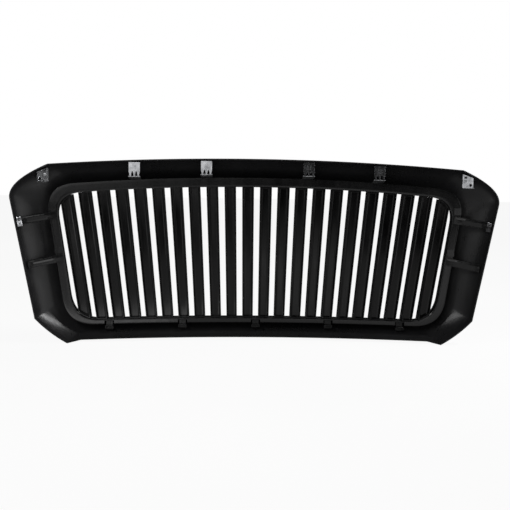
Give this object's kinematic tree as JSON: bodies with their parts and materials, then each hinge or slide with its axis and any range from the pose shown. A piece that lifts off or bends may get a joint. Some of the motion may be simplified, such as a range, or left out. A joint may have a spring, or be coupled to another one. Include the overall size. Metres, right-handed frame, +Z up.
{
  "type": "front grille",
  "caption": "Vehicle front grille: deep surround shell with wings, a bowed insert frame, a fan of vertical slats, straps, spring clips and latches.",
  "frame": {"origin": "middle of the bounding box, at its lowest point, the tips of the wings", "axes": "+X across the vehicle to the left of someone who looks from behind the grille at its back, -Y forward to the road, +Z up"},
  "size_m": [1.225, 0.13, 0.468],
  "materials": {
    "shell_plastic": "black moulded ABS, semi-matte inside",
    "frame_plastic": "black moulded ABS, satin",
    "slat_plastic": "black moulded ABS, satin",
    "clip_steel": "zinc-plated spring steel",
    "latch_plastic": "black moulded nylon"
  },
  "bodies": {
    "root": {"surround_shell": "shell_plastic", "insert_frame": "frame_plastic", "slat_01": "slat_plastic", "slat_02": "slat_plastic", "slat_03": "slat_plastic", "slat_04": "slat_plastic", "slat_05": "slat_plastic", "slat_06": "slat_plastic", "slat_07": "slat_plastic", "slat_08": "slat_plastic", "slat_09": "slat_plastic", "slat_10": "slat_plastic", "slat_11": "slat_plastic", "slat_12": "slat_plastic", "slat_13": "slat_plastic", "slat_14": "slat_plastic", "slat_15": "slat_plastic", "slat_16": "slat_plastic", "slat_17": "slat_plastic", "slat_18": "slat_plastic", "slat_19": "slat_plastic", "slat_20": "slat_plastic", "slat_21": "slat_plastic", "slat_22": "slat_plastic", "top_clip_1": "clip_steel", "top_clip_2": "clip_steel", "top_clip_3": "clip_steel", "top_clip_4": "clip_steel", "corner_clip_left": "clip_steel", "corner_clip_right": "clip_steel", "side_clip_left": "clip_steel", "side_clip_right": "clip_steel", "strap_upper_left": "frame_plastic", "strap_upper_right": "frame_plastic", "strap_lower_left": "frame_plastic", "strap_lower_right": "frame_plastic", "lower_latch_1": "latch_plastic", "lower_latch_2": "latch_plastic", "lower_latch_3": "latch_plastic", "lower_latch_4": "latch_plastic", "lower_latch_5": "latch_plastic"}
  },
  "joints": []
}
